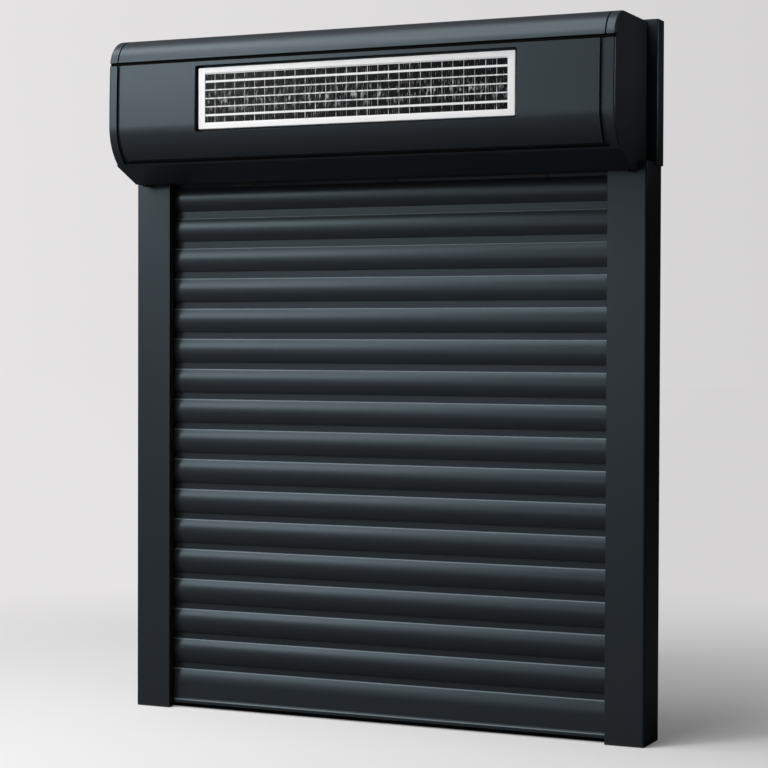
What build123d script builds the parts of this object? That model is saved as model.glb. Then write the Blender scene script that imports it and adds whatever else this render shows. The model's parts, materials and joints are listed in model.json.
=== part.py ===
from build123d import *
import math
import os

os.makedirs("parts", exist_ok=True)

# Exterior roller shutter for a small window: two wall rails, a slatted curtain, and a rounded box that holds
# the barrel, its motor and battery, with a solar panel set in the box front.
# Frame: X across, Y towards the wall, +Z up, origin at the bottom centre. The wall plane is at +Y.
# Section sketches are drawn in (depth, height), where depth is measured out from the wall.

# Overall sizes
box_depth = 143.5
box_foot = 685.0
box_height = 170.5
box_top = box_foot + box_height
rail_half_width = 345.0
cap_step = 11.3
cap_half_width = rail_half_width - cap_step
wall_y = box_depth / 2
sheet = 1.6
cut_over = 5.0
fit_gap = 0.1

# Box outline, in depth and height
underside_drop = 8.0
underside = box_foot - underside_drop
lip_depth = 57.0
bevel_end_depth = 77.0
crease_depth = 121.0
crease_rise = 11.0
crease_height = box_foot + crease_rise
belly_rise = 60.0
belly_height = box_foot + belly_rise
shoulder_depth = 141.6
shoulder_rise = 137.0
shoulder_height = box_foot + shoulder_rise
roof_start_depth = 106.0

# Seams between the box shells
upper_seam_rise = 138.0
upper_seam = box_foot + upper_seam_rise
lower_seam_rise = 16.0
lower_seam = box_foot + lower_seam_rise
seam_gap = 4.4
seam_depth = 3.5
tongue_lap = 3.0
lower_lap = 6.0

# End caps
cap_wall = 3.0
cap_rim_width = 11.4
cap_channel = 7.0
cap_tongue = 15.3
cap_tongue_wall = 2.0
rim_depth = 5.5
cap_edge_radius = 2.4
shell_end_gap = 1.8
ear_step = 2.5
ear_half_width = rail_half_width + ear_step
ear_depth = 23.0
ear_rise = 172.0
ear_top = box_foot + ear_rise
ear_edge_radius = 2.0
ear_wall = 2.5
back_flange = 28.0
foot_wall = 3.0
spigot_length = 35.0
spigot_play = 1.5

# Rails
rail_width = 49.0
rail_depth = 55.0
rail_wall = 1.8
rail_corner = 3.2
rail_inner_corner = 0.8
groove_length = 30.0
groove_rear = 29.5
groove_front = 45.5
foot_plug = 2.0
plug_height = 18.0
base_wall = 2.5
base_arm = 2.0
base_arm_depth = 24.0
bead_radius = 0.8
bead_recess_radius = 0.9
bead_depth = 18.0
fixing_radius = 3.25
fixing_low = 70.0
fixing_top_gap = 75.0
fixing_spacing = box_foot - fixing_low - fixing_top_gap

# Curtain
pitch = 39.0
bar_top = 49.5
throat_gap = 11.5
slat_count = round((box_foot - throat_gap - bar_top) / pitch)
curtain_rear = 33.0
curtain_side_gap = 8.0
soft_gap = 0.3

# Slat profile: forward is measured from the back plane of the curtain, height from the bottom of the slat
slat_bulge = 9.5
slat_wall = 1.0
ledge_forward = 5.8
ledge_edge_radius = 1.4
belly_forward = 6.2
belly_edge = 9.0
back_rise = 1.3
back_inset = 0.6
crown_share = 0.62
neck_rear = 1.15
neck_wall = 0.8
hook_height = 6.2
hook_reach = 3.25
hook_head = 0.9
hook_tip = 0.8
hook_tip_drop = 1.3
pocket_forward = 4.4
pocket_wall = 0.9
pocket_top = 8.2
pocket_mouth = 2.25
pocket_lip = 1.1
end_lock_wall = 1.6
end_lock_peg = 12.0
end_lock_play = 0.15

# Bottom bar
bar_foot = 5.0
bar_wall = 1.4
bar_lip_reach = 3.6
bar_lip_low = 5.6
bar_lip_high = 9.4
bar_lip_slope = 2.2
bar_lip_inset = 2.0
seal_slot_wall = 1.2
seal_slot_height = 4.0
seal_neck = 3.0
seal_bead = 5.6
seal_width = 8.0
seal_play = 0.1

# Barrel, drive and bearing
barrel_depth = 76.0
barrel_rise = 90.0
barrel_height = box_foot + barrel_rise
barrel_apothem = 30.0
barrel_wall = 1.2
barrel_head_gap = 4.0
barrel_bearing_gap = 24.0
strap_slot = 3.0
crown_length = 18.0
crown_flange = 2.0
running_gap = 0.06
motor_radius = 22.5
motor_wall = 3.0
motor_end = 140.0
head_radius = 27.0
head_neck_radius = 24.0
head_length = 21.7
head_collar = 8.0
head_ring = 3.0
head_edge = 0.9
pin_edge = 0.5
bracket_wall = 3.0
bracket_side = 74.0
bracket_corner = 8.0
bracket_bolt_circle = 62.0
bracket_bolt_radius = 2.0
bracket_head_radius = 3.6
bracket_head_height = 2.0
bracket_blind = 2.4
shaft_radius = 6.0
shaft_length = 34.0
drive_length = 24.0
drive_offset = 6.0
drive_hub_radius = 12.0
drive_rim = 3.0
drive_web = 5.0
drive_spokes = 4
capsule_length = 60.0
capsule_wall = 2.4
capsule_web = 5.0
pin_radius = 6.0
pin_lap = 47.0
bearing_inset = 11.7
bearing_width = 8.0
bearing_outer_radius = 14.0
inner_race_radius = 8.0
outer_race_radius = 12.2
bearing_rib = 1.0
bearing_rib_radius = 10.9
roller_count = 9
race_play = 0.03
cup_wall = 3.0
cup_step = 1.6

# Straps between the barrel and the top slat
strap_places = (-200.0, 0.0, 200.0)
strap_width = 24.0
strap_wall = 0.8
strap_rise = 11.0
strap_top = barrel_height + strap_rise
strap_bend_drop = 12.0
strap_bend_height = barrel_height - strap_bend_drop
clip_width = 30.0
clip_height = 10.0

# Solar panel and its supply
pv_offset = 2.5
pv_width = 419.0
pv_height = 76.0
pv_rise = 90.0
pv_centre = box_foot + pv_rise
pv_gap = 3.0
pv_recess = 4.5
pv_frame_depth = 6.0
pv_side = 9.5
pv_rail = 7.0
pv_edge_radius = 1.2
pv_glass_set = 0.8
pv_glass = 3.2
pocket_corner = 3.0
pocket_sheet = 1.2
gasket_wall = 1.0
gasket_width = 5.0
pv_glass_lap = 3.0
pv_corner = 2.0
pv_glass_corner = 1.0
junction_corner = 2.0
junction_edge = 0.5
junction_width = 50.0
junction_height = 16.0
junction_depth = 5.0
junction_inset = 42.0
junction_centre = pv_offset - pv_width / 2 + junction_inset
junction_top_gap = 1.5
battery_radius = 14.0
battery_depth = 18.0
battery_drop = 17.5
battery_height = box_top - battery_drop
battery_inset = 60.3
battery_end = 30.0
battery_cap = 8.0
battery_cap_radius = 13.0
clip_band = 1.8
battery_clip_width = 14.0
battery_clip_inset = 47.0
battery_clip_end = 50.0
battery_clip_mouth = 20.0
clip_foot = 16.0
cable_radius = 2.0
cable_bend = 7.0
cable_pair = 5.0
cable_step = 30.0
cable_clip = 8.0
cable_turn_gap = 23.0
roof_clip_places = (45.0, 92.0)

# Small parts
screw_head_radius = 4.2
screw_head_height = 2.4
screw_radius = 2.0
screw_length = 12.0
screw_boss_radius = 5.0
screw_boss = 14.0
screw_depth = 67.0
screw_inset = 9.0
guide_reach = 11.0
guide_wall = 1.8
guide_height = 7.0
guide_nose = 2.0
funnel_height = 21.0
funnel_wall = 3.0
funnel_flare = 3.5
box_fixing_width = 440.0
box_fixing_spacing = 90.0
box_fixing_rise = 30.0
box_fixing_low = box_foot + box_fixing_rise

# Places worked out from the sizes above
rail_inner = rail_half_width - rail_width
groove_bottom = rail_inner + groove_length
curtain_half_width = groove_bottom - curtain_side_gap
curtain_front = curtain_rear + slat_bulge
rim_inner = cap_half_width - cap_rim_width
panel_half_width = rim_inner - cap_channel
shell_half_width = rim_inner - shell_end_gap
wall_face = cap_half_width - cap_wall
plate_face = wall_face - bracket_wall
head_outer = -plate_face
motor_start = head_outer + head_length
barrel_left = motor_start + barrel_head_gap
bearing_start = plate_face - bearing_inset
barrel_right = bearing_start - barrel_bearing_gap
pin_start = barrel_right - pin_lap
battery_start = battery_inset - rim_inner
battery_clip_places = (battery_start + battery_clip_inset, battery_end - battery_clip_end)
pv_cable_turn = battery_start - cable_turn_gap
top_slat_base = bar_top + pitch * (slat_count - 1)
curtain_top = top_slat_base + pitch
pocket_floor = pv_recess + pv_frame_depth + gasket_wall
pv_half_open = pv_width / 2 + pv_gap
pv_high_open = pv_height / 2 + pv_gap
bore_apothem = barrel_apothem - barrel_wall - fit_gap


def section(x):
    """Plane across the shutter at x: sketch x is depth from the wall, sketch y is height, extrusion runs to -X."""
    return Plane(origin=(x, wall_y, 0), x_dir=(0, -1, 0), z_dir=(-1, 0, 0))


def plan(z):
    """Level plane at height z: sketch x is X, sketch y is depth from the wall, extrusion runs down."""
    return Plane(origin=(0, wall_y, z), x_dir=(1, 0, 0), z_dir=(0, 0, -1))


def front(depth):
    """Upright plane facing the room: sketch x is X, sketch y is height, extrusion runs out from the wall."""
    return Plane(origin=(0, wall_y - depth, 0), x_dir=(1, 0, 0), z_dir=(0, -1, 0))


def barrel_section(x):
    """Section plane at x with its origin on the barrel's axis."""
    return Plane(origin=(x, wall_y - barrel_depth, barrel_height), x_dir=(0, -1, 0), z_dir=(-1, 0, 0))


def save(piece, name):
    piece.label = name
    export_step(piece, f"parts/{name}.step")


def twin_of(piece):
    """The same piece on the other side of the shutter."""
    with BuildPart() as twin:
        mirror(piece, about=Plane.YZ)
    return twin.part


def box_face(inset):
    """Closed outline of the box in depth and height, drawn in by the inset."""
    with BuildSketch() as outline:
        with BuildLine():
            Line((0, box_foot), (lip_depth, box_foot))
            Line((lip_depth, box_foot), (lip_depth, underside))
            Line((lip_depth, underside), (bevel_end_depth, underside))
            Line((bevel_end_depth, underside), (crease_depth, crease_height))
            TangentArc((box_depth, belly_height), (crease_depth, crease_height), tangent=(0, -1))
            TangentArc((box_depth, belly_height), (shoulder_depth, shoulder_height), tangent=(0, 1))
            TangentArc((roof_start_depth, box_top), (shoulder_depth, shoulder_height), tangent=(1, 0))
            Line((roof_start_depth, box_top), (0, box_top))
            Line((0, box_top), (0, box_foot))
        make_face()
        if inset:
            offset(amount=-inset, kind=Kind.INTERSECTION)
    return outline.sketch


def band(outer, inner, near, far, low, high):
    """The part of the box wall between two insets that lies inside a window of depth and height."""
    with BuildSketch() as strip:
        add(box_face(outer))
        add(box_face(inner), mode=Mode.SUBTRACT)
        with Locations(((near + far) / 2, (low + high) / 2)):
            Rectangle(far - near, high - low, mode=Mode.INTERSECT)
    return strip.sketch


def slab(x_low, x_high, d_low, d_high):
    """A rectangle in the current sketch, given by its edges."""
    with Locations(((x_low + x_high) / 2, (d_low + d_high) / 2)):
        Rectangle(x_high - x_low, d_high - d_low)


def hollow(x_low, x_high, d_low, d_high):
    """A rectangular opening in the current sketch, given by its edges."""
    with Locations(((x_low + x_high) / 2, (d_low + d_high) / 2)):
        Rectangle(x_high - x_low, d_high - d_low, mode=Mode.SUBTRACT)


# Rails: a channel screwed to the wall, and a cover with the curtain groove clipped over it
front_chamber = groove_front + rail_wall
groove_block = groove_bottom + rail_wall
rear_pocket = groove_rear - rail_wall
cover_outer = rail_half_width - rail_wall
cover_inner = rail_inner + rail_wall

with BuildPart() as rail_cover:
    with BuildSketch(plan(box_foot)) as cover_sketch:
        slab(rail_inner, rail_half_width, 0, rail_depth)
        front_corners = cover_sketch.vertices().group_by(Axis.Y)[-1].sort_by(Axis.X)
        fillet(front_corners[-1], radius=rail_corner)
        fillet(cover_sketch.vertices().group_by(Axis.Y)[-1].sort_by(Axis.X)[0], radius=rail_inner_corner)
        hollow(cover_inner, cover_outer, front_chamber, rail_depth - rail_wall)
        hollow(groove_block, cover_outer, groove_rear, rail_depth - rail_wall)
        hollow(cover_inner, cover_outer, 0, rear_pocket)
        hollow(rail_inner, groove_bottom, groove_rear, groove_front)
        with Locations((cover_inner, bead_depth), (cover_outer, bead_depth)):
            Circle(bead_recess_radius, mode=Mode.SUBTRACT)
    extrude(amount=box_foot - foot_plug)
save(rail_cover.part, "rail_cover_right")
save(twin_of(rail_cover.part), "rail_cover_left")

with BuildPart() as rail_base:
    with BuildSketch(plan(box_foot)):
        slab(cover_inner, cover_outer, 0, base_wall)
        slab(cover_inner, cover_inner + base_arm, 0, base_arm_depth)
        slab(cover_outer - base_arm, cover_outer, 0, base_arm_depth)
        with Locations((cover_inner, bead_depth), (cover_outer, bead_depth)):
            Circle(bead_radius)
    extrude(amount=box_foot - foot_plug)
    with BuildSketch(front(0)):
        with Locations(
            (rail_half_width - rail_width / 2, fixing_low),
            (rail_half_width - rail_width / 2, fixing_low + fixing_spacing),
        ):
            Circle(fixing_radius)
    extrude(amount=base_wall + cut_over, mode=Mode.SUBTRACT)
save(rail_base.part, "rail_base_right")
save(twin_of(rail_base.part), "rail_base_left")

with BuildPart() as rail_feet:
    with BuildSketch(plan(foot_plug)) as foot_sketch:
        slab(rail_inner, rail_half_width, 0, rail_depth)
        fillet(foot_sketch.vertices().group_by(Axis.Y)[-1].sort_by(Axis.X)[-1], radius=rail_corner)
        hollow(rail_inner, groove_bottom, groove_rear, groove_front)
    extrude(amount=foot_plug)
    with BuildSketch(plan(foot_plug + plug_height)):
        slab(
            groove_block + spigot_play,
            cover_outer - spigot_play,
            front_chamber + spigot_play / 2,
            rail_depth - rail_wall - spigot_play,
        )
    extrude(amount=plug_height)
    mirror(about=Plane.YZ)
save(rail_feet.part, "rail_feet")

with BuildPart() as rail_brushes:
    with BuildSketch(plan(box_foot)):
        brush_start = rail_inner + rail_wall
        brush_end = brush_start + gasket_width
        slab(brush_start, brush_end, groove_rear, curtain_rear - soft_gap)
        slab(brush_start, brush_end, curtain_front + soft_gap, groove_front)
    extrude(amount=box_foot - foot_plug)
    mirror(about=Plane.YZ)
save(rail_brushes.part, "rail_brushes")


# Curtain slats: a hollow aluminium profile with a hook on top and a pocket below
def slat_outline(height, mouth_z):
    """Hollow slat of the given cover height standing on mouth_z, in depth and height."""
    rear = curtain_rear
    top = mouth_z + height
    crown = mouth_z + height * crown_share
    neck = rear + neck_rear
    with BuildSketch() as profile:
        with BuildLine():
            front_crown = (rear + slat_bulge, crown)
            ledge_corner = (rear + ledge_forward, top - ledge_edge_radius)
            ledge_round = (rear + ledge_forward - ledge_edge_radius, top)
            TangentArc(front_crown, ledge_corner, tangent=(0, 1))
            TangentArc(ledge_round, ledge_corner, tangent=(1, 0))
            Polyline(
                ledge_round,
                (neck + neck_wall, top),
                (neck + neck_wall, top + hook_height - hook_head),
                (rear + hook_reach - hook_tip, top + hook_height - hook_head),
                (rear + hook_reach - hook_tip, top + hook_height - hook_head - hook_tip_drop),
                (rear + hook_reach, top + hook_height - hook_head - hook_tip_drop),
                (rear + hook_reach, top + hook_height),
                (neck, top + hook_height),
                (neck, top),
                (rear + back_inset, top),
            )
            ThreePointArc(
                (rear + back_inset, top),
                (rear + back_inset + back_rise, crown),
                (rear + back_inset, mouth_z + belly_edge),
            )
            Polyline(
                (rear + back_inset, mouth_z + belly_edge),
                (rear, mouth_z + belly_edge),
                (rear, mouth_z),
                (rear + pocket_wall, mouth_z),
                (rear + pocket_wall, mouth_z + pocket_top),
                (rear + pocket_forward - pocket_wall, mouth_z + pocket_top),
                (rear + pocket_forward - pocket_wall, mouth_z + pocket_lip),
                (rear + pocket_mouth, mouth_z + pocket_lip),
                (rear + pocket_mouth, mouth_z),
                (rear + pocket_forward, mouth_z),
                (rear + pocket_forward, mouth_z + belly_edge),
                (rear + belly_forward, mouth_z + belly_edge),
            )
            TangentArc(front_crown, (rear + belly_forward, mouth_z + belly_edge), tangent=(0, -1))
        make_face()
        with BuildLine():
            chamber_low = mouth_z + belly_edge + slat_wall
            chamber_high = top - slat_wall
            chamber_rear = rear + back_inset + slat_wall
            inner_crown = (rear + slat_bulge - slat_wall, crown)
            upper_front = (rear + ledge_forward - slat_wall, chamber_high)
            lower_front = (rear + belly_forward - slat_wall, chamber_low)
            TangentArc(inner_crown, upper_front, tangent=(0, 1))
            Line(upper_front, (chamber_rear, chamber_high))
            ThreePointArc(
                (chamber_rear, chamber_high),
                (chamber_rear + back_rise, crown),
                (chamber_rear, chamber_low),
            )
            Line((chamber_rear, chamber_low), lower_front)
            TangentArc(inner_crown, lower_front, tangent=(0, -1))
        make_face(mode=Mode.SUBTRACT)
    return profile.sketch


with BuildPart() as slat_blank:
    with BuildSketch(section(curtain_half_width)):
        add(slat_outline(pitch, 0))
    extrude(amount=2 * curtain_half_width)

for number in range(1, slat_count + 1):
    with BuildPart() as slat:
        add(slat_blank.part.moved(Location((0, 0, bar_top + pitch * (slat_count - number)))))
    save(slat.part, f"slat_{number:02d}")

# End locks: a plastic plate with a peg in the slat's chamber, at both ends of every slat
lock_low = belly_edge + slat_wall
lock_high = pitch - slat_wall
with BuildPart() as lock_blank:
    with BuildSketch(section(curtain_half_width + end_lock_wall)):
        slab(
            curtain_rear + back_inset,
            curtain_rear + ledge_forward,
            lock_low,
            lock_high,
        )
    extrude(amount=end_lock_wall)
    with BuildSketch(section(curtain_half_width)):
        slab(
            curtain_rear + back_inset + slat_wall + back_rise + end_lock_play,
            curtain_rear + ledge_forward - slat_wall - end_lock_play,
            lock_low + end_lock_play,
            lock_high - end_lock_play,
        )
    extrude(amount=end_lock_peg)

with BuildPart() as end_locks:
    for number in range(slat_count):
        add(lock_blank.part.moved(Location((0, 0, bar_top + pitch * number))))
    mirror(about=Plane.YZ)
save(end_locks.part, "end_locks")

# Bottom bar: a taller hollow profile with the same hook, a drip lip and a slot for the seal
bar_crown = bar_top * crown_share
slot_top = bar_foot + seal_slot_height
seal_middle = curtain_rear + (slat_bulge - seal_slot_wall) / 2
with BuildPart() as bottom_bar:
    with BuildSketch(section(curtain_half_width)):
        with BuildLine():
            rear = curtain_rear
            neck = rear + neck_rear
            crown_point = (rear + slat_bulge, bar_crown)
            ledge_corner = (rear + ledge_forward, bar_top - ledge_edge_radius)
            ledge_round = (rear + ledge_forward - ledge_edge_radius, bar_top)
            TangentArc(crown_point, ledge_corner, tangent=(0, 1))
            TangentArc(ledge_round, ledge_corner, tangent=(1, 0))
            Polyline(
                ledge_round,
                (neck + neck_wall, bar_top),
                (neck + neck_wall, bar_top + hook_height - hook_head),
                (rear + hook_reach - hook_tip, bar_top + hook_height - hook_head),
                (rear + hook_reach - hook_tip, bar_top + hook_height - hook_head - hook_tip_drop),
                (rear + hook_reach, bar_top + hook_height - hook_head - hook_tip_drop),
                (rear + hook_reach, bar_top + hook_height),
                (neck, bar_top + hook_height),
                (neck, bar_top),
                (rear, bar_top),
                (rear, bar_foot),
                (rear + slat_bulge, bar_foot),
                (rear + slat_bulge, bar_crown),
            )
        make_face()
        hollow(
            rear + bar_wall,
            rear + slat_bulge - bar_wall,
            slot_top + seal_slot_wall + bar_wall,
            bar_crown,
        )
        hollow(rear + bar_wall, rear + ledge_forward - bar_wall, bar_crown, bar_top - bar_wall)
        hollow(seal_middle - seal_bead / 2, seal_middle + seal_bead / 2, bar_foot + seal_slot_wall, slot_top)
        hollow(seal_middle - seal_neck / 2, seal_middle + seal_neck / 2, bar_foot, slot_top)
    extrude(amount=2 * curtain_half_width)
    with BuildSketch(section(rail_inner - bar_lip_inset)):
        with BuildLine():
            Polyline(
                (curtain_front, bar_lip_high + bar_lip_slope),
                (curtain_front + bar_lip_reach, bar_lip_high),
                (curtain_front + bar_lip_reach, bar_lip_low),
                (curtain_front, bar_lip_low),
                (curtain_front, bar_lip_high + bar_lip_slope),
            )
        make_face()
    extrude(amount=2 * (rail_inner - bar_lip_inset))
save(bottom_bar.part, "bottom_bar")

with BuildPart() as bar_seal:
    with BuildSketch(section(curtain_half_width)):
        slab(
            seal_middle - seal_bead / 2 + seal_play,
            seal_middle + seal_bead / 2 - seal_play,
            bar_foot + seal_slot_wall,
            slot_top - seal_play,
        )
        slab(
            seal_middle - seal_neck / 2 + seal_play,
            seal_middle + seal_neck / 2 - seal_play,
            bar_foot,
            bar_foot + seal_slot_wall,
        )
        with Locations((seal_middle, bar_foot / 2)):
            RectangleRounded(seal_width, bar_foot, bar_foot / 2 - seal_play)
    extrude(amount=2 * curtain_half_width)
save(bar_seal.part, "bar_seal")

with BuildPart() as bar_end_plugs:
    with BuildSketch(section(curtain_half_width + end_lock_wall)):
        slab(curtain_rear, curtain_front, bar_foot, bar_crown)
        slab(curtain_rear, curtain_rear + ledge_forward, bar_crown, bar_top - slat_wall)
    extrude(amount=end_lock_wall)
    with BuildSketch(section(curtain_half_width)):
        slab(
            curtain_rear + bar_wall + end_lock_play,
            curtain_rear + ledge_forward - bar_wall - end_lock_play,
            slot_top + seal_slot_wall + bar_wall + end_lock_play,
            bar_top - bar_wall - end_lock_play,
        )
    extrude(amount=end_lock_peg)
    mirror(about=Plane.YZ)
save(bar_end_plugs.part, "bar_end_plugs")

# Hanger clips: a short pocket profile slid on to the top slat's hook, and spring-steel straps up to the barrel
with BuildPart() as hanger_clips:
    for place in strap_places:
        with BuildSketch(section(place + clip_width / 2)):
            slab(curtain_rear, curtain_rear + pocket_forward, curtain_top, curtain_top + clip_height)
            hollow(
                curtain_rear + pocket_wall,
                curtain_rear + pocket_forward - pocket_wall,
                curtain_top + pocket_lip,
                curtain_top + pocket_top,
            )
            hollow(
                curtain_rear + pocket_wall,
                curtain_rear + pocket_mouth,
                curtain_top,
                curtain_top + pocket_top,
            )
        extrude(amount=clip_width)
save(hanger_clips.part, "hanger_clips")

strap_face = barrel_depth - barrel_apothem - soft_gap
clip_middle = curtain_rear + pocket_forward / 2
clip_top = curtain_top + clip_height
with BuildPart() as hanger_straps:
    for place in strap_places:
        with BuildSketch(section(place + strap_width / 2)):
            with BuildLine():
                Polyline(
                    (strap_face, strap_top),
                    (strap_face, strap_bend_height),
                    (clip_middle + strap_wall / 2, clip_top),
                    (clip_middle - strap_wall / 2, clip_top),
                    (strap_face - strap_wall, strap_bend_height),
                    (strap_face - strap_wall, strap_top),
                    (strap_face, strap_top),
                )
            make_face()
        extrude(amount=strap_width)
save(hanger_straps.part, "hanger_straps")


# Barrel: an octagonal steel tube with plugs
def octagon(apothem, mode=Mode.ADD):
    RegularPolygon(apothem, 8, major_radius=False, rotation=180 / 8, mode=mode)


with BuildPart() as barrel_tube:
    with BuildSketch(barrel_section(barrel_right)):
        octagon(barrel_apothem)
        octagon(barrel_apothem - barrel_wall, Mode.SUBTRACT)
    extrude(amount=barrel_right - barrel_left)
    with BuildSketch(front(barrel_depth - barrel_apothem - cut_over)):
        with Locations(*[(place, barrel_height) for place in strap_places]):
            Rectangle(strap_width + 2 * soft_gap, strap_slot)
    extrude(amount=2 * cut_over, mode=Mode.SUBTRACT)
save(barrel_tube.part, "barrel_tube")

with BuildPart() as crown_ring:
    with BuildSketch(barrel_section(barrel_left + crown_length)):
        octagon(bore_apothem)
        Circle(motor_radius + running_gap, mode=Mode.SUBTRACT)
    extrude(amount=crown_length)
    with BuildSketch(barrel_section(barrel_left)):
        octagon(barrel_apothem)
        Circle(motor_radius + running_gap, mode=Mode.SUBTRACT)
    extrude(amount=crown_flange)
save(crown_ring.part, "crown_ring")

with BuildPart() as motor_tube:
    with BuildSketch(barrel_section(motor_end)):
        Circle(motor_radius)
    extrude(amount=motor_end - motor_start)
    with BuildSketch(barrel_section(motor_end - motor_wall)):
        Circle(motor_radius - motor_wall)
    extrude(amount=motor_end - motor_start - 2 * motor_wall, mode=Mode.SUBTRACT)
    with BuildSketch(barrel_section(motor_end)):
        Circle(shaft_radius + running_gap)
    extrude(amount=motor_wall, mode=Mode.SUBTRACT)
save(motor_tube.part, "motor_tube")

with BuildPart() as motor_head:
    with BuildSketch(barrel_section(motor_start)):
        Circle(head_radius)
    extrude(amount=head_collar)
    with BuildSketch(barrel_section(motor_start - head_collar)):
        Circle(head_neck_radius)
    extrude(amount=motor_start - head_collar - head_outer)
    chamfer(motor_head.edges().filter_by(GeomType.CIRCLE).sort_by(Axis.X)[-1], length=head_edge)
save(motor_head.part, "motor_head")

with BuildPart() as motor_shaft:
    with BuildSketch(barrel_section(motor_end + shaft_length)):
        Circle(shaft_radius)
    extrude(amount=shaft_length + motor_wall)
    chamfer(motor_shaft.edges().filter_by(GeomType.CIRCLE).sort_by(Axis.X)[-1], length=pin_edge)
save(motor_shaft.part, "motor_shaft")

drive_start = motor_end + drive_offset
with BuildPart() as drive_wheel:
    with BuildSketch(barrel_section(drive_start + drive_length)):
        octagon(bore_apothem)
        Circle(bore_apothem - drive_rim, mode=Mode.SUBTRACT)
        Circle(drive_hub_radius)
        for turn in range(drive_spokes):
            with Locations(Rot(0, 0, turn * 360 / drive_spokes)):
                with Locations(((drive_hub_radius + bore_apothem - drive_rim) / 2, 0)):
                    Rectangle(bore_apothem - drive_hub_radius, drive_web)
        Circle(shaft_radius, mode=Mode.SUBTRACT)
    extrude(amount=drive_length)
save(drive_wheel.part, "drive_wheel")

with BuildPart() as idler_capsule:
    with BuildSketch(barrel_section(barrel_right)):
        octagon(bore_apothem)
        Circle(bore_apothem - capsule_wall, mode=Mode.SUBTRACT)
    extrude(amount=capsule_length)
    for web_start in (barrel_right + crown_flange, barrel_right - capsule_length + capsule_web):
        with BuildSketch(barrel_section(web_start)):
            octagon(bore_apothem)
            Circle(pin_radius, mode=Mode.SUBTRACT)
        extrude(amount=capsule_web)
    with BuildSketch(barrel_section(barrel_right + crown_flange)):
        octagon(barrel_apothem)
        Circle(pin_radius, mode=Mode.SUBTRACT)
    extrude(amount=crown_flange)
save(idler_capsule.part, "idler_capsule")

bearing_end = bearing_start + bearing_width
with BuildPart() as idler_pin:
    with BuildSketch(barrel_section(bearing_end)):
        Circle(pin_radius)
    extrude(amount=bearing_end - barrel_right + capsule_length)
    chamfer(idler_pin.edges().filter_by(GeomType.CIRCLE).sort_by(Axis.X)[-1], length=pin_edge)
save(idler_pin.part, "idler_pin")

# Roller bearing at the idler end: plain inner ring, ribbed outer ring and loose rollers between them
with BuildPart() as bearing_inner_ring:
    with BuildSketch(barrel_section(bearing_end)):
        Circle(inner_race_radius)
        Circle(pin_radius, mode=Mode.SUBTRACT)
    extrude(amount=bearing_width)
save(bearing_inner_ring.part, "bearing_inner_ring")

with BuildPart() as bearing_outer_ring:
    with BuildSketch(barrel_section(bearing_end)):
        Circle(bearing_outer_radius)
        Circle(outer_race_radius, mode=Mode.SUBTRACT)
    extrude(amount=bearing_width)
    for rib_end in (bearing_end, bearing_start + bearing_rib):
        with BuildSketch(barrel_section(rib_end)):
            Circle(outer_race_radius)
            Circle(bearing_rib_radius, mode=Mode.SUBTRACT)
        extrude(amount=bearing_rib)
save(bearing_outer_ring.part, "bearing_outer_ring")

roller_circle = (inner_race_radius + outer_race_radius) / 2
roller_radius = (outer_race_radius - inner_race_radius) / 2 - race_play
roller_length = bearing_width - 2 * (bearing_rib + race_play)
with BuildPart() as bearing_rollers:
    with BuildSketch(barrel_section(bearing_end - bearing_rib - race_play)):
        with PolarLocations(roller_circle, roller_count):
            Circle(roller_radius)
    extrude(amount=roller_length)
save(bearing_rollers.part, "bearing_rollers")

# Box shells
skin_near = crease_depth - cut_over
skin_far = box_depth + cut_over
panel_low = lower_seam + seam_gap / 2
panel_high = upper_seam - seam_gap / 2
shell_low = upper_seam + seam_gap / 2
lower_high = lower_seam - seam_gap / 2
tongue_inner = panel_half_width - cap_tongue
hem_depth = seam_depth - fit_gap
tongue_depth = seam_depth + sheet


def skin(outer, inner, low, high):
    """Front part of the box wall between two insets and two heights."""
    return band(outer, inner, skin_near, skin_far, low, high)


with BuildPart() as top_shell:
    with BuildSketch(section(shell_half_width)):
        add(band(0, sheet, sheet, skin_far, shell_low, box_top + cut_over))
        add(skin(0, hem_depth, shell_low, shell_low + sheet))
    extrude(amount=2 * shell_half_width)
    with BuildSketch(section(tongue_inner - fit_gap)):
        add(skin(0, tongue_depth, shell_low, shell_low + sheet))
        add(skin(seam_depth, tongue_depth, panel_high - tongue_lap, shell_low + sheet))
    extrude(amount=2 * (tongue_inner - fit_gap))
save(top_shell.part, "top_shell")

tray_rear = box_depth - pocket_floor - pocket_sheet
panel_end = panel_half_width - sheet

with BuildPart() as panel_cavity:
    with BuildSketch(section(panel_end)):
        with Locations((skin_far / 2, (panel_low + panel_high) / 2)):
            Rectangle(skin_far, panel_high - panel_low - 2 * sheet)
        add(box_face(sheet), mode=Mode.INTERSECT)
    extrude(amount=2 * panel_end)
    with BuildSketch(section(panel_half_width + cut_over)):
        with Locations((skin_far / 2, (panel_low + panel_high) / 2)):
            Rectangle(skin_far, panel_high - panel_low + 2 * cut_over)
        add(box_face(hem_depth), mode=Mode.INTERSECT)
    extrude(amount=2 * (panel_half_width + cut_over))
    with BuildSketch(front(tray_rear)):
        with Locations((pv_offset, pv_centre)):
            RectangleRounded(
                2 * (pv_half_open + pocket_sheet),
                2 * (pv_high_open + pocket_sheet),
                pocket_corner + pocket_sheet,
            )
    extrude(amount=pocket_floor + pocket_sheet + cut_over, mode=Mode.SUBTRACT)

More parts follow.
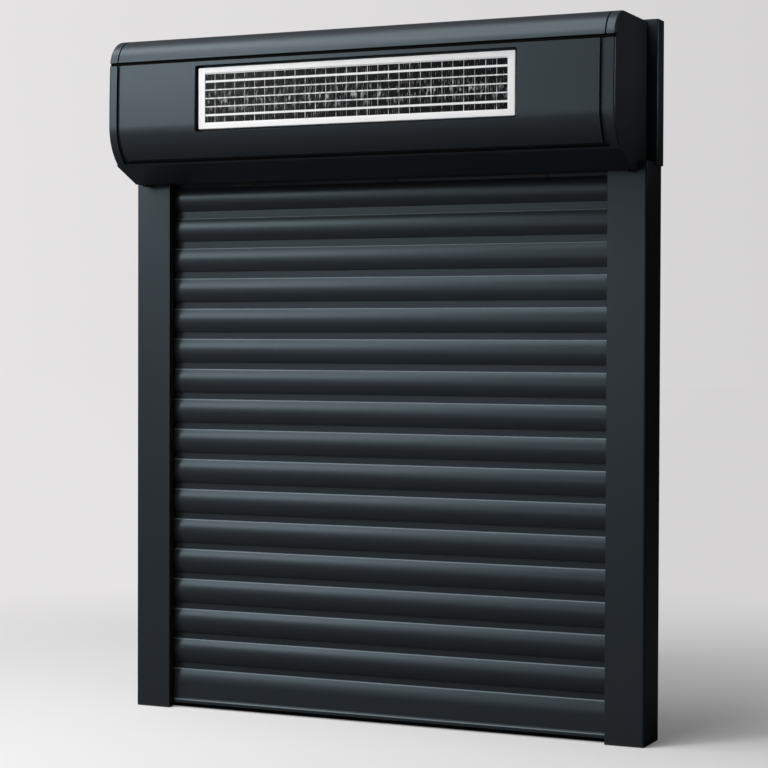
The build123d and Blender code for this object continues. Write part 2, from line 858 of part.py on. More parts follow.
with BuildPart() as front_panel:
    with BuildSketch(section(panel_half_width)):
        with Locations(((skin_near + skin_far) / 2, (panel_low + panel_high) / 2)):
            Rectangle(skin_far - skin_near, panel_high - panel_low)
        add(box_face(0), mode=Mode.INTERSECT)
    extrude(amount=2 * panel_half_width)
    add(panel_cavity.part, mode=Mode.SUBTRACT)
    with BuildSketch(front(tray_rear + pocket_sheet)):
        with Locations((pv_offset, pv_centre)):
            RectangleRounded(2 * pv_half_open, 2 * pv_high_open, pocket_corner)
    extrude(amount=pocket_floor + cut_over, mode=Mode.SUBTRACT)
    with BuildSketch(section(tongue_inner - fit_gap)):
        add(skin(hem_depth - sheet / 2, tongue_depth, panel_low, panel_low + sheet))
        add(skin(seam_depth, tongue_depth, lower_high - lower_lap, panel_low + sheet))
    extrude(amount=2 * (tongue_inner - fit_gap))
save(front_panel.part, "front_panel")

with BuildPart() as lower_panel:
    with BuildSketch(section(cap_half_width)):
        add(band(0, sheet, lip_depth, skin_far, underside - cut_over, lower_high))
    extrude(amount=2 * cap_half_width)
    with BuildSketch(plan(underside + sheet + cut_over)):
        for side in (-1, 1):
            with Locations((side * (cap_half_width - screw_inset), screw_depth)):
                Circle(screw_radius)
    extrude(amount=2 * cut_over, mode=Mode.SUBTRACT)
save(lower_panel.part, "lower_panel")

with BuildPart() as throat_guide:
    with BuildSketch(section(rail_inner - fit_gap)):
        slab(lip_depth - guide_reach, lip_depth, underside, box_foot + sheet)
        slab(
            lip_depth - guide_reach,
            lip_depth + sheet + guide_nose,
            box_foot + sheet,
            box_foot + sheet + guide_wall,
        )
        slab(
            lip_depth + sheet + fit_gap,
            lip_depth + sheet + guide_nose,
            box_foot + sheet - guide_height,
            box_foot + sheet,
        )
        hollow(
            lip_depth - guide_reach + guide_wall,
            lip_depth - guide_wall,
            underside + guide_wall,
            box_foot + sheet - guide_wall,
        )
    extrude(amount=2 * (rail_inner - fit_gap))
save(throat_guide.part, "throat_guide")

with BuildPart() as back_panel:
    with BuildSketch(section(rim_inner)):
        slab(0, sheet, box_foot, ear_top)
    extrude(amount=2 * rim_inner)
    with BuildSketch(section(cap_half_width - cap_wall)):
        slab(0, ear_depth, box_top, ear_top)
    extrude(amount=2 * (cap_half_width - cap_wall))
    with BuildSketch(section(rail_inner - fit_gap)):
        slab(0, back_flange, box_foot, box_foot + sheet)
    extrude(amount=2 * (rail_inner - fit_gap))
    with BuildSketch(front(0)):
        with Locations((0, box_fixing_low + box_fixing_spacing / 2)):
            with GridLocations(box_fixing_width, box_fixing_spacing, 2, 2):
                Circle(fixing_radius)
    extrude(amount=sheet + cut_over, mode=Mode.SUBTRACT)
save(back_panel.part, "back_panel")

# End caps, each with its mounting ear, rail spigot and curtain funnel
screw_x = cap_half_width - screw_inset
bolt_reach = bracket_bolt_circle / 2
bolt_turn = 45

with BuildPart() as end_cap:
    with BuildSketch(section(cap_half_width)):
        add(box_face(0))
        add(band(0, sheet, lip_depth, skin_far, underside - cut_over, lower_high), mode=Mode.SUBTRACT)
    extrude(amount=cap_wall)
    outer_edges = end_cap.faces().sort_by(Axis.X)[-1].edges()
    fillet(
        [
            edge
            for edge in outer_edges
            if edge.center().Z > lower_seam and edge.center().Y < wall_y - ear_depth
        ],
        radius=cap_edge_radius,
    )
    with BuildSketch(section(wall_face)):
        add(box_face(0))
        add(box_face(rim_depth), mode=Mode.SUBTRACT)
        add(band(0, sheet, lip_depth, skin_far, underside - cut_over, lower_high), mode=Mode.SUBTRACT)
    extrude(amount=cap_rim_width - cap_wall)
    with BuildSketch(section(rim_inner)):
        add(
            band(
                seam_depth,
                seam_depth + cap_tongue_wall,
                ear_depth,
                skin_far,
                lower_high - lower_lap,
                box_top + cut_over,
            )
        )
    extrude(amount=rim_inner - tongue_inner)
    with BuildSketch(section(cap_half_width)):
        add(skin(0, seam_depth, panel_high, shell_low))
    extrude(amount=cap_rim_width, mode=Mode.SUBTRACT)
    with BuildSketch(plan(ear_top)) as ear_sketch:
        slab(wall_face, ear_half_width, 0, ear_depth)
        fillet(ear_sketch.vertices().group_by(Axis.Y)[-1].sort_by(Axis.X)[-1], radius=ear_edge_radius)
    extrude(amount=ear_top - box_foot)
    with BuildSketch(plan(ear_top - ear_wall)):
        slab(cap_half_width, ear_half_width - ear_wall, 0, ear_depth - ear_wall)
    extrude(amount=ear_top - box_foot - ear_wall - foot_wall, mode=Mode.SUBTRACT)
    with BuildSketch(plan(box_foot + foot_wall)):
        slab(rail_inner, rail_half_width, sheet, lip_depth)
    extrude(amount=foot_wall)
    with BuildSketch(plan(box_foot)):
        slab(
            cover_inner + base_arm + spigot_play,
            cover_outer - base_arm - spigot_play,
            base_wall + spigot_play,
            base_arm_depth - spigot_play,
        )
    extrude(amount=spigot_length)
    with BuildSketch(section(groove_bottom)):
        for lip_depth_side, outward in ((groove_front, 1), (groove_rear, -1)):
            with BuildLine():
                Polyline(
                    (lip_depth_side, box_foot),
                    (lip_depth_side + outward * funnel_flare, box_foot + funnel_height),
                    (
                        lip_depth_side + outward * (funnel_flare + funnel_wall),
                        box_foot + funnel_height,
                    ),
                    (lip_depth_side + outward * funnel_wall, box_foot),
                    (lip_depth_side, box_foot),
                )
            make_face()
    extrude(amount=groove_length)
    with BuildSketch(plan(box_foot + foot_wall)):
        slab(rail_inner, groove_bottom, groove_rear, groove_front)
    extrude(amount=foot_wall, mode=Mode.SUBTRACT)
    with BuildSketch(plan(underside + sheet + screw_boss)):
        with Locations((screw_x, screw_depth)):
            Circle(screw_boss_radius)
    extrude(amount=screw_boss)
    with BuildSketch(plan(underside + screw_length)):
        with Locations((screw_x, screw_depth)):
            Circle(screw_radius)
    extrude(amount=screw_length, mode=Mode.SUBTRACT)
    with BuildSketch(barrel_section(wall_face + bracket_blind)):
        with PolarLocations(bolt_reach, 4, start_angle=bolt_turn):
            Circle(bracket_bolt_radius)
    extrude(amount=bracket_blind, mode=Mode.SUBTRACT)
save(end_cap.part, "end_cap_right")
save(twin_of(end_cap.part), "end_cap_left")

with BuildPart() as cap_screws:
    with BuildSketch(plan(underside)):
        with Locations((screw_x, screw_depth)):
            Circle(screw_head_radius)
    extrude(amount=screw_head_height)
    fillet(cap_screws.edges().group_by(Axis.Z)[0], radius=screw_head_height / 2)
    with BuildSketch(plan(underside + screw_length)):
        with Locations((screw_x, screw_depth)):
            Circle(screw_radius)
    extrude(amount=screw_length)
    mirror(about=Plane.YZ)
save(cap_screws.part, "cap_screws")

# Brackets that carry the barrel, screwed to the end caps
with BuildPart() as bearing_plate:
    with BuildSketch(barrel_section(wall_face)):
        RectangleRounded(bracket_side, bracket_side, bracket_corner)
        with PolarLocations(bolt_reach, 4, start_angle=bolt_turn):
            Circle(bracket_bolt_radius, mode=Mode.SUBTRACT)
    extrude(amount=bracket_wall)
    with BuildSketch(barrel_section(plate_face)):
        Circle(bearing_outer_radius + cup_wall)
        Circle(bearing_outer_radius, mode=Mode.SUBTRACT)
    extrude(amount=plate_face - bearing_start)
    with BuildSketch(barrel_section(plate_face)):
        Circle(bearing_outer_radius)
        Circle(bearing_outer_radius - cup_step, mode=Mode.SUBTRACT)
    extrude(amount=plate_face - bearing_start - bearing_width)
save(bearing_plate.part, "bearing_plate")

with BuildPart() as motor_bracket:
    with BuildSketch(barrel_section(-plate_face)):
        RectangleRounded(bracket_side, bracket_side, bracket_corner)
        with PolarLocations(bolt_reach, 4, start_angle=bolt_turn):
            Circle(bracket_bolt_radius, mode=Mode.SUBTRACT)
    extrude(amount=bracket_wall)
    with BuildSketch(barrel_section(-plate_face + head_ring)):
        Circle(head_neck_radius + bracket_wall)
        Circle(head_neck_radius, mode=Mode.SUBTRACT)
    extrude(amount=head_ring)
save(motor_bracket.part, "motor_bracket")

with BuildPart() as bracket_screws:
    with BuildSketch(barrel_section(plate_face)):
        with PolarLocations(bolt_reach, 4, start_angle=bolt_turn):
            Circle(bracket_head_radius)
    extrude(amount=bracket_head_height)
    with BuildSketch(barrel_section(wall_face + bracket_blind)):
        with PolarLocations(bolt_reach, 4, start_angle=bolt_turn):
            Circle(bracket_bolt_radius)
    extrude(amount=bracket_wall + bracket_blind)
    mirror(about=Plane.YZ)
save(bracket_screws.part, "bracket_screws")

# Solar panel: frame, glass laminate, gasket and junction box
frame_front = box_depth - pv_recess
frame_rear = frame_front - pv_frame_depth
glass_front = frame_front - pv_glass_set


def pv_rectangle(width, height, corner, mode=Mode.ADD):
    with Locations((pv_offset, pv_centre)):
        RectangleRounded(width, height, corner, mode=mode)


glass_width = pv_width - 2 * pv_side + 2 * pv_glass_lap
glass_height = pv_height - 2 * pv_rail + 2 * pv_glass_lap
with BuildPart() as solar_frame:
    with BuildSketch(front(frame_rear)):
        pv_rectangle(pv_width, pv_height, pv_corner)
    extrude(amount=pv_frame_depth)
    fillet(solar_frame.edges().group_by(Axis.Y)[0], radius=pv_edge_radius)
    with BuildSketch(front(frame_rear)):
        pv_rectangle(glass_width, glass_height, pv_glass_corner)
    extrude(amount=pv_frame_depth - pv_glass_set, mode=Mode.SUBTRACT)
    with BuildSketch(front(frame_rear)):
        pv_rectangle(pv_width - 2 * pv_side, pv_height - 2 * pv_rail, pv_glass_corner)
    extrude(amount=pv_frame_depth, mode=Mode.SUBTRACT)
save(solar_frame.part, "solar_frame")

with BuildPart() as solar_laminate:
    with BuildSketch(front(glass_front - pv_glass)):
        pv_rectangle(glass_width, glass_height, pv_glass_corner)
    extrude(amount=pv_glass)
save(solar_laminate.part, "solar_laminate")

with BuildPart() as solar_gasket:
    with BuildSketch(front(frame_rear - gasket_wall)):
        pv_rectangle(pv_width - 2 * gasket_wall, pv_height - 2 * gasket_wall, pv_corner)
        pv_rectangle(
            pv_width - 2 * gasket_wall - 2 * gasket_width,
            pv_height - 2 * gasket_wall - 2 * gasket_width,
            pv_glass_corner,
            Mode.SUBTRACT,
        )
    extrude(amount=gasket_wall)
save(solar_gasket.part, "solar_gasket")

junction_top = pv_centre + pv_high_open - junction_top_gap
junction_middle = junction_top - junction_height / 2
with BuildPart() as junction_box:
    with BuildSketch(front(tray_rear - junction_depth)):
        with Locations((junction_centre, junction_middle)):
            RectangleRounded(junction_width, junction_height, junction_corner)
    extrude(amount=junction_depth)
    fillet(junction_box.edges().group_by(Axis.Y)[-1], radius=junction_edge)
save(junction_box.part, "junction_box")

# Battery on the back panel, with its clips and cables
battery_plane = Plane(
    origin=(battery_end, wall_y - battery_depth, battery_height), x_dir=(0, -1, 0), z_dir=(-1, 0, 0)
)
with BuildPart() as battery:
    with BuildSketch(battery_plane.offset(battery_cap)):
        Circle(battery_radius)
    extrude(amount=battery_end - battery_start - 2 * battery_cap)
    with BuildSketch(battery_plane):
        Circle(battery_cap_radius)
    extrude(amount=battery_end - battery_start)
save(battery.part, "battery")

with BuildPart() as battery_clips:
    for place in battery_clip_places:
        with BuildSketch(section(place + battery_clip_width / 2)):
            with Locations((battery_depth, battery_height)):
                Circle(battery_radius + clip_band)
            slab(sheet, battery_depth, battery_height - clip_foot / 2, battery_height + clip_foot / 2)
            with Locations((battery_depth, battery_height)):
                Circle(battery_radius, mode=Mode.SUBTRACT)
            hollow(
                battery_depth,
                battery_depth + 2 * battery_radius,
                battery_height - battery_clip_mouth / 2,
                battery_height + battery_clip_mouth / 2,
            )
            hollow(
                sheet - battery_radius,
                sheet,
                battery_height - battery_radius,
                battery_height + battery_radius,
            )
        extrude(amount=battery_clip_width)
save(battery_clips.part, "battery_clips")


def route(points):
    """World points from places given as X, depth from the wall and height."""
    return [(x, wall_y - depth, z) for x, depth, z in points]


junction_side = junction_centre - junction_width / 2
floor_run = tray_rear - cable_radius - fit_gap
roof_run = box_top - sheet - cable_radius - fit_gap
solar_route = [
    (junction_side, floor_run, junction_middle),
    (pv_cable_turn, floor_run, junction_middle),
    (pv_cable_turn, floor_run - cable_step, junction_middle + cable_step),
    (pv_cable_turn, roof_start_depth - cable_step, roof_run),
    (pv_cable_turn, battery_depth, roof_run),
    (pv_cable_turn, battery_depth, battery_height + cable_pair),
    (battery_start, battery_depth, battery_height + cable_pair),
]
with BuildPart() as solar_cable:
    with BuildLine() as solar_path:
        FilletPolyline(*route(solar_route), radius=cable_bend)
    with BuildSketch(solar_path.line ^ 0):
        Circle(cable_radius)
    sweep(path=solar_path.line)
save(solar_cable.part, "solar_cable")

head_side = head_ring + cable_radius + soft_gap - plate_face
motor_route = [
    (battery_start, battery_depth, battery_height - cable_pair),
    (head_side, battery_depth, battery_height - cable_pair),
    (head_side, battery_depth, barrel_height),
    (head_side, barrel_depth, barrel_height),
]
with BuildPart() as motor_cable:
    with BuildLine() as motor_path:
        FilletPolyline(*route(motor_route), radius=cable_bend)
    with BuildSketch(motor_path.line ^ 0):
        Circle(cable_radius)
    sweep(path=motor_path.line)
    with BuildSketch(barrel_section(motor_start)):
        Circle(head_neck_radius)
    extrude(amount=motor_start - head_outer, mode=Mode.SUBTRACT)
save(motor_cable.part, "motor_cable")

with BuildPart() as cable_clips:
    for depth in roof_clip_places:
        with BuildSketch(front(depth - cable_clip / 2)):
            slab(
                pv_cable_turn - cable_clip / 2,
                pv_cable_turn + cable_clip / 2,
                roof_run - cable_radius - clip_band,
                box_top - sheet,
            )
            with Locations((pv_cable_turn, roof_run)):
                Circle(cable_radius, mode=Mode.SUBTRACT)
        extrude(amount=cable_clip)
save(cable_clips.part, "cable_clips")
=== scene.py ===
import bpy
import json
import math
from mathutils import Matrix, Vector


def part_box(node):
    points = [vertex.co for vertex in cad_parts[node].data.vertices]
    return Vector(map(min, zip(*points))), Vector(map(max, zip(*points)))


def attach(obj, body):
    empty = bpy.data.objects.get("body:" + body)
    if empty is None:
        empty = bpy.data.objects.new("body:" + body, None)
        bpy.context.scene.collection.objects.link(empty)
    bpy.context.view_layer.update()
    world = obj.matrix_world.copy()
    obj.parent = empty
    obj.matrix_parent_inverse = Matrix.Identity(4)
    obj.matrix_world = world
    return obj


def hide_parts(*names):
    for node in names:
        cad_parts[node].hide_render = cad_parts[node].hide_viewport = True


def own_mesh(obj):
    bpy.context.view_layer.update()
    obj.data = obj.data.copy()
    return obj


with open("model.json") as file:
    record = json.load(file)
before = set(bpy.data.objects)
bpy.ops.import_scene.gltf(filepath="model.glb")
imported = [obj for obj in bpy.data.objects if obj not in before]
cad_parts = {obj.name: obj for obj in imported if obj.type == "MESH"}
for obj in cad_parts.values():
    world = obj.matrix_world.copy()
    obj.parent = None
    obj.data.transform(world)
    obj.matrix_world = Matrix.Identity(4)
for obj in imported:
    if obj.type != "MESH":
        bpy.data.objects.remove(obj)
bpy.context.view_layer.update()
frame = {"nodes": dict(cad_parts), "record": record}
nodes = frame["nodes"]


# Lowest and highest corner of a node, to a hundredth of a millimetre
def cornersOf(nodeName):
    return [[round(value, 5) for value in corner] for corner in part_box(nodeName)]


# The wall stands at the back, towards +Y
wallY = cornersOf("back_panel")[1][1]


def clearSelection():
    if bpy.context.object and bpy.context.object.mode != "OBJECT":
        bpy.ops.object.mode_set(mode="OBJECT")
    bpy.ops.object.select_all(action="DESELECT")


clearSelection()

# Camera at the photograph's viewing angle, worked out for a square frame
cameraView = {
    "place": (1.080104, -2.345051, 0.474708),
    "yaw": 24.4018,
    "pitch": -1.13755,
    "roll": 0.19371,
    "focalPixels": 2100.854,
    "framePixels": 768,
    "sensor": 36.0,
    "farthest": 60,
}


def addCamera(view):
    yaw, pitch, roll = (math.radians(view[k]) for k in ("yaw", "pitch", "roll"))
    forward = Vector((-math.sin(yaw) * math.cos(pitch), math.cos(yaw) * math.cos(pitch), math.sin(pitch)))
    right = Vector((math.cos(yaw), math.sin(yaw), 0))
    up = right.cross(forward)
    turnedRight = right * math.cos(roll) + up * math.sin(roll)
    turnedUp = up * math.cos(roll) - right * math.sin(roll)
    matrix = Matrix((turnedRight, turnedUp, -forward)).transposed().to_4x4()
    matrix.translation = Vector(view["place"])
    data = bpy.data.cameras.new("photoCamera")
    data.sensor_width = view["sensor"]
    data.lens = view["sensor"] * view["focalPixels"] / view["framePixels"]
    data.clip_end = view["farthest"]
    camera = bpy.data.objects.new("photoCamera", data)
    camera.matrix_world = matrix
    bpy.context.scene.collection.objects.link(camera)
    bpy.context.scene.camera = camera


addCamera(cameraView)
bpy.context.scene.view_settings.view_transform = "Standard"

# Soft studio light: azimuth and elevation in degrees from the front, left being negative, sizes in metres
lights = {
    "frontSoftbox": {"azimuth": -38, "elevation": 20, "distance": 2.4, "size": (0.66, 0.8), "power": 15.7},
    "leftSoftbox": {"azimuth": -38, "elevation": 35, "distance": 2.4, "size": (0.8, 0.8), "power": 9.2},
    "highSoftbox": {"azimuth": -22, "elevation": 55, "distance": 2.4, "size": (1.6, 0.8), "power": 25.0},
    "sideSoftbox": {"azimuth": -72, "elevation": 54, "distance": 2.4, "size": (0.7, 0.8), "power": 13.4},
    "topSoftbox": {"azimuth": -45, "elevation": 77, "distance": 2.4, "size": (1.2, 0.8), "power": 14.0},
    "lowSoftbox": {"azimuth": -16, "elevation": 4, "distance": 2.4, "size": (0.9, 0.6), "power": 3.8},
    # a small one with a narrow beam, for the right end of the box alone
    "endSoftbox": {
        "azimuth": 100,
        "elevation": 8,
        "distance": 0.6,
        "size": (0.12, 0.12),
        "power": 0.042,
        "aim": (0.334, -0.02, 0.8),
        "beam": 30,
    },
}
openBeam = 180
lightAim = (0.0, -0.05, 0.5)


def addSoftbox(name, box):
    around, above = math.radians(box["azimuth"]), math.radians(box["elevation"])
    away = Vector((math.sin(around) * math.cos(above), -math.cos(around) * math.cos(above), math.sin(above)))
    data = bpy.data.lights.new(name, "AREA")
    data.shape = "RECTANGLE"
    data.size, data.size_y = box["size"]
    data.energy = box["power"]
    data.spread = math.radians(box.get("beam", openBeam))
    lamp = bpy.data.objects.new(name, data)
    turned = (-away).to_track_quat("-Z", "Y").to_matrix().to_4x4()
    place = Vector(box.get("aim", lightAim)) + away * box["distance"]
    lamp.matrix_world = Matrix.Translation(place) @ turned
    bpy.context.scene.collection.objects.link(lamp)


for lampName, lampBox in lights.items():
    addSoftbox(lampName, lampBox)


# Short ways to add shader nodes. An input is fed by a number, a colour or another node's output
def feed(tree, socket, value):
    if isinstance(value, bpy.types.NodeSocket):
        tree.links.new(value, socket)
    else:
        socket.default_value = value


def addNode(tree, kind, inputs, **settings):
    node = tree.nodes.new(kind)
    for key, value in settings.items():
        setattr(node, key, value)
    for label, value in inputs.items():
        feed(tree, node.inputs[label], value)
    return node


def mathNode(tree, operation, *values):
    return addNode(tree, "ShaderNodeMath", dict(enumerate(values)), operation=operation).outputs[0]


def vectorNode(tree, operation, vector, output="Vector"):
    return addNode(tree, "ShaderNodeVectorMath", {0: vector}, operation=operation).outputs[output]


def rangeNode(tree, value, start, end=(0.0, 1.0), interpolation="LINEAR"):
    inputs = {"Value": value, "From Min": start[0], "From Max": start[1], "To Min": end[0], "To Max": end[1]}
    return addNode(tree, "ShaderNodeMapRange", inputs, interpolation_type=interpolation).outputs["Result"]


def splitVector(tree, vector):
    return addNode(tree, "ShaderNodeSeparateXYZ", {"Vector": vector}).outputs


def upwardPart(tree):
    return splitVector(tree, addNode(tree, "ShaderNodeNewGeometry", {}).outputs["Normal"])["Z"]


def noiseNode(tree, vector, scale, detail):
    inputs = {"Vector": vector, "Scale": scale, "Detail": detail}
    return addNode(tree, "ShaderNodeTexNoise", inputs).outputs["Fac"]


def opaque(colour):
    return (*colour, 1)


def mixColour(tree, amount, first, second):
    inputs = {"Factor": amount, "A": first, "B": second}
    return addNode(tree, "ShaderNodeMix", inputs, data_type="RGBA").outputs["Result"]


def mixShader(tree, amount, first, second):
    return addNode(tree, "ShaderNodeMixShader", {0: amount, 1: first, 2: second}).outputs[0]


# Pale backdrop, a little darker towards the right, which only the camera and clear pieces see
backdrop = {
    "left": 0.785,
    "right": 0.665,
    "leftEdge": -0.57,
    "rightEdge": -0.24,
    "tint": (1.0, 0.982, 0.991),
}
# The studio that everything else sees: dim, with a dark flag along its right side
studio = {"left": 0.15, "right": 0.012, "leftEdge": -0.15, "rightEdge": 0.25}


def levelAcross(tree, direction, values):
    edges = (values["leftEdge"], values["rightEdge"])
    return rangeNode(tree, splitVector(tree, direction)["X"], edges, (values["left"], values["right"]))


def backdropColour(tree, direction, values):
    level = levelAcross(tree, direction, values)
    inputs = {0: values["tint"], "Scale": level}
    return addNode(tree, "ShaderNodeVectorMath", inputs, operation="SCALE").outputs["Vector"]


def addWorld(pale, dim):
    world = bpy.data.worlds.new("paleStudio")
    bpy.context.scene.world = world
    world.use_nodes = True
    tree = world.node_tree
    tree.nodes.clear()
    path = addNode(tree, "ShaderNodeLightPath", {}).outputs
    direction = addNode(tree, "ShaderNodeTexCoord", {}).outputs["Generated"]
    dimLight = addNode(tree, "ShaderNodeBackground", {"Strength": levelAcross(tree, direction, dim)})
    paleView = addNode(tree, "ShaderNodeBackground", {"Color": backdropColour(tree, direction, pale)})
    straight = mathNode(tree, "MAXIMUM", path["Is Camera Ray"], path["Is Transmission Ray"])
    surface = mixShader(tree, straight, dimLight.outputs[0], paleView.outputs[0])
    addNode(tree, "ShaderNodeOutputWorld", {"Surface": surface})


addWorld(backdrop, studio)


def blankMaterial(name):
    material = bpy.data.materials.new(name)
    material.use_nodes = True
    material.node_tree.nodes.clear()
    return material, material.node_tree


# The floor keeps the soft shadow near the object and melts into the backdrop further out
floorValues = {
    "reach": 40.0,
    "height": -0.0005,
    "colour": (0.75, 0.7425, 0.74625),
    "fill": 0.14,
    "near": 0.45,
    "far": 1.6,
    "bounce": (0.12, 0.12, 0.12),
}


def addFloor(values):
    bpy.ops.mesh.primitive_plane_add(size=values["reach"], location=(0, 0, values["height"]))
    floor = bpy.context.object
    floor.name = "studioFloor"
    material, tree = blankMaterial("paleFloor")
    place = addNode(tree, "ShaderNodeTexCoord", {}).outputs["Object"]
    distance = vectorNode(tree, "LENGTH", place, "Value")
    direction = vectorNode(tree, "NORMALIZE", place)
    outward = rangeNode(tree, distance, (values["near"], values["far"]), interpolation="SMOOTHSTEP")
    lit = addNode(tree, "ShaderNodeBsdfDiffuse", {"Color": opaque(values["colour"])})
    glow = addNode(tree, "ShaderNodeEmission", {"Strength": values["fill"]})
    near = addNode(tree, "ShaderNodeAddShader", {0: lit.outputs[0], 1: glow.outputs[0]})
    far = addNode(tree, "ShaderNodeEmission", {"Color": backdropColour(tree, direction, backdrop)})
    seen = mixShader(tree, outward, near.outputs[0], far.outputs[0])
    dim = addNode(tree, "ShaderNodeBsdfDiffuse", {"Color": opaque(values["bounce"])})
    path = addNode(tree, "ShaderNodeLightPath", {}).outputs
    surface = mixShader(tree, path["Is Camera Ray"], dim.outputs[0], seen)
    addNode(tree, "ShaderNodeOutputMaterial", {"Surface": surface})
    floor.data.materials.append(material)
    clearSelection()


addFloor(floorValues)
print("camera, lights and floor are in place")


# Surface effects that several finishes share, as node groups
def newGroup(name, inputs, outputs):
    group = bpy.data.node_groups.new(name, "ShaderNodeTree")
    for label, kind, value in inputs:
        socket = group.interface.new_socket(name=label, in_out="INPUT", socket_type=kind)
        if value is not None:
            socket.default_value = value
    for label in outputs:
        group.interface.new_socket(name=label, in_out="OUTPUT", socket_type="NodeSocketFloat")
    return group, group.nodes.new("NodeGroupInput").outputs, group.nodes.new("NodeGroupOutput").inputs


grainValues = {"grains": 900.0, "grainDetail": 3.0, "drift": 4.0, "driftDetail": 4.0}


# Fine grain for the bump, and broad mottling for colour and roughness
def powderGrainGroup(values):
    group, given, result = newGroup(
        "powderGrain",
        [
            ("Vector", "NodeSocketVector", None),
            ("Grains", "NodeSocketFloat", values["grains"]),
            ("Drift", "NodeSocketFloat", values["drift"]),
        ],
        ["Height", "Mottle"],
    )
    fine = noiseNode(group, given["Vector"], given["Grains"], values["grainDetail"])
    broad = noiseNode(group, given["Vector"], given["Drift"], values["driftDetail"])
    group.links.new(fine, result["Height"])
    group.links.new(broad, result["Mottle"])
    return group


dustValues = {
    "amount": 0.3,
    "upward": (0.75, 1.0),
    "patches": 38.0,
    "detail": 5.0,
    "colour": (0.22, 0.22, 0.21),
}


# Dust in patches on faces that look up
def dustGroup(values):
    group, given, result = newGroup(
        "settledDust",
        [("Vector", "NodeSocketVector", None), ("Amount", "NodeSocketFloat", values["amount"])],
        ["Mask"],
    )
    level = rangeNode(group, upwardPart(group), values["upward"])
    patches = noiseNode(group, given["Vector"], values["patches"], values["detail"])
    settled = mathNode(group, "MULTIPLY", level, patches)
    group.links.new(mathNode(group, "MULTIPLY", settled, given["Amount"]), result["Mask"])
    return group


slatNames = sorted(name for name in nodes if name.startswith("slat_"))
topSlat, nextSlat, lastSlat = (cornersOf(slatNames[k]) for k in (0, 1, -1))
slatPitch = topSlat[0][2] - nextSlat[0][2]

# Painted highlight: a bright line painted along the rounded edge of each slat's ledge, on faces that look up,
# below a given height
ledgeHighlightValues = {
    "first": lastSlat[0][2],
    "pitch": slatPitch,
    "halfWidth": topSlat[1][0] + 0.0001,
    "top": 0.66,
    "band": 0.0015,
    "upward": 0.12,
}


def ledgeHighlightGroup(values):
    group, given, result = newGroup("paintedLedgeHighlight", [("Vector", "NodeSocketVector", None)], ["Mask"])
    place = splitVector(group, given["Vector"])
    below = mathNode(group, "SUBTRACT", values["first"] + values["pitch"], place["Z"])
    step = mathNode(group, "FRACT", mathNode(group, "DIVIDE", below, values["pitch"]))
    near = mathNode(group, "LESS_THAN", step, values["band"] / values["pitch"])
    within = mathNode(group, "LESS_THAN", mathNode(group, "ABSOLUTE", place["X"]), values["halfWidth"])
    under = mathNode(group, "LESS_THAN", place["Z"], values["top"])
    upward = mathNode(group, "GREATER_THAN", upwardPart(group), values["upward"])
    onSlat = mathNode(group, "MULTIPLY", mathNode(group, "MULTIPLY", near, within), under)
    group.links.new(mathNode(group, "MULTIPLY", onSlat, upward), result["Mask"])
    return group


grainGroup = powderGrainGroup(grainValues)
dustMask = dustGroup(dustValues)
ledgeHighlightMask = ledgeHighlightGroup(ledgeHighlightValues)


def newMaterial(name):
    material, tree = blankMaterial(name)
    surface = addNode(tree, "ShaderNodeBsdfPrincipled", {})
    addNode(tree, "ShaderNodeOutputMaterial", {"Surface": surface.outputs["BSDF"]})
    place = addNode(tree, "ShaderNodeTexCoord", {})
    return material, tree, surface.inputs, place.outputs["Object"]


# A finish with broad mottling, fine grain in its bump and a little dust on level faces
def coatedFinish(name, values):
    material, tree, surface, place = newMaterial(name)
    grainInputs = {"Vector": place, "Grains": values["grains"], "Drift": values["drift"]}
    grain = addNode(tree, "ShaderNodeGroup", grainInputs, node_tree=grainGroup).outputs
    dust = addNode(tree, "ShaderNodeGroup", {"Vector": place, "Amount": values["dust"]}, node_tree=dustMask)
    darker = [level * (1 - values["mottle"]) for level in values["colour"]]
    paler = [level * (1 + values["mottle"]) for level in values["colour"]]
    base = mixColour(tree, grain["Mottle"], opaque(darker), opaque(paler))
    base = mixColour(tree, dust.outputs["Mask"], base, opaque(dustValues["colour"]))
    # painted highlight: the bright line along each slat's ledge
    if "ledgeHighlight" in values:
        line = addNode(tree, "ShaderNodeGroup", {"Vector": place}, node_tree=ledgeHighlightMask)
        base = mixColour(tree, line.outputs["Mask"], base, opaque(values["ledgeHighlight"]))
    bumpInputs = {"Strength": values["bump"], "Distance": values["bumpDepth"], "Height": grain["Height"]}
    bump = addNode(tree, "ShaderNodeBump", bumpInputs)
    feed(tree, surface["Base Color"], base)
    feed(tree, surface["Roughness"], rangeNode(tree, grain["Mottle"], (0.0, 1.0), values["rough"]))
    feed(tree, surface["Normal"], bump.outputs["Normal"])
    surface["Metallic"].default_value = values["metallic"]
    surface["Specular IOR Level"].default_value = values["specular"]
    surface["Specular Tint"].default_value = opaque(values["tint"])
    return material


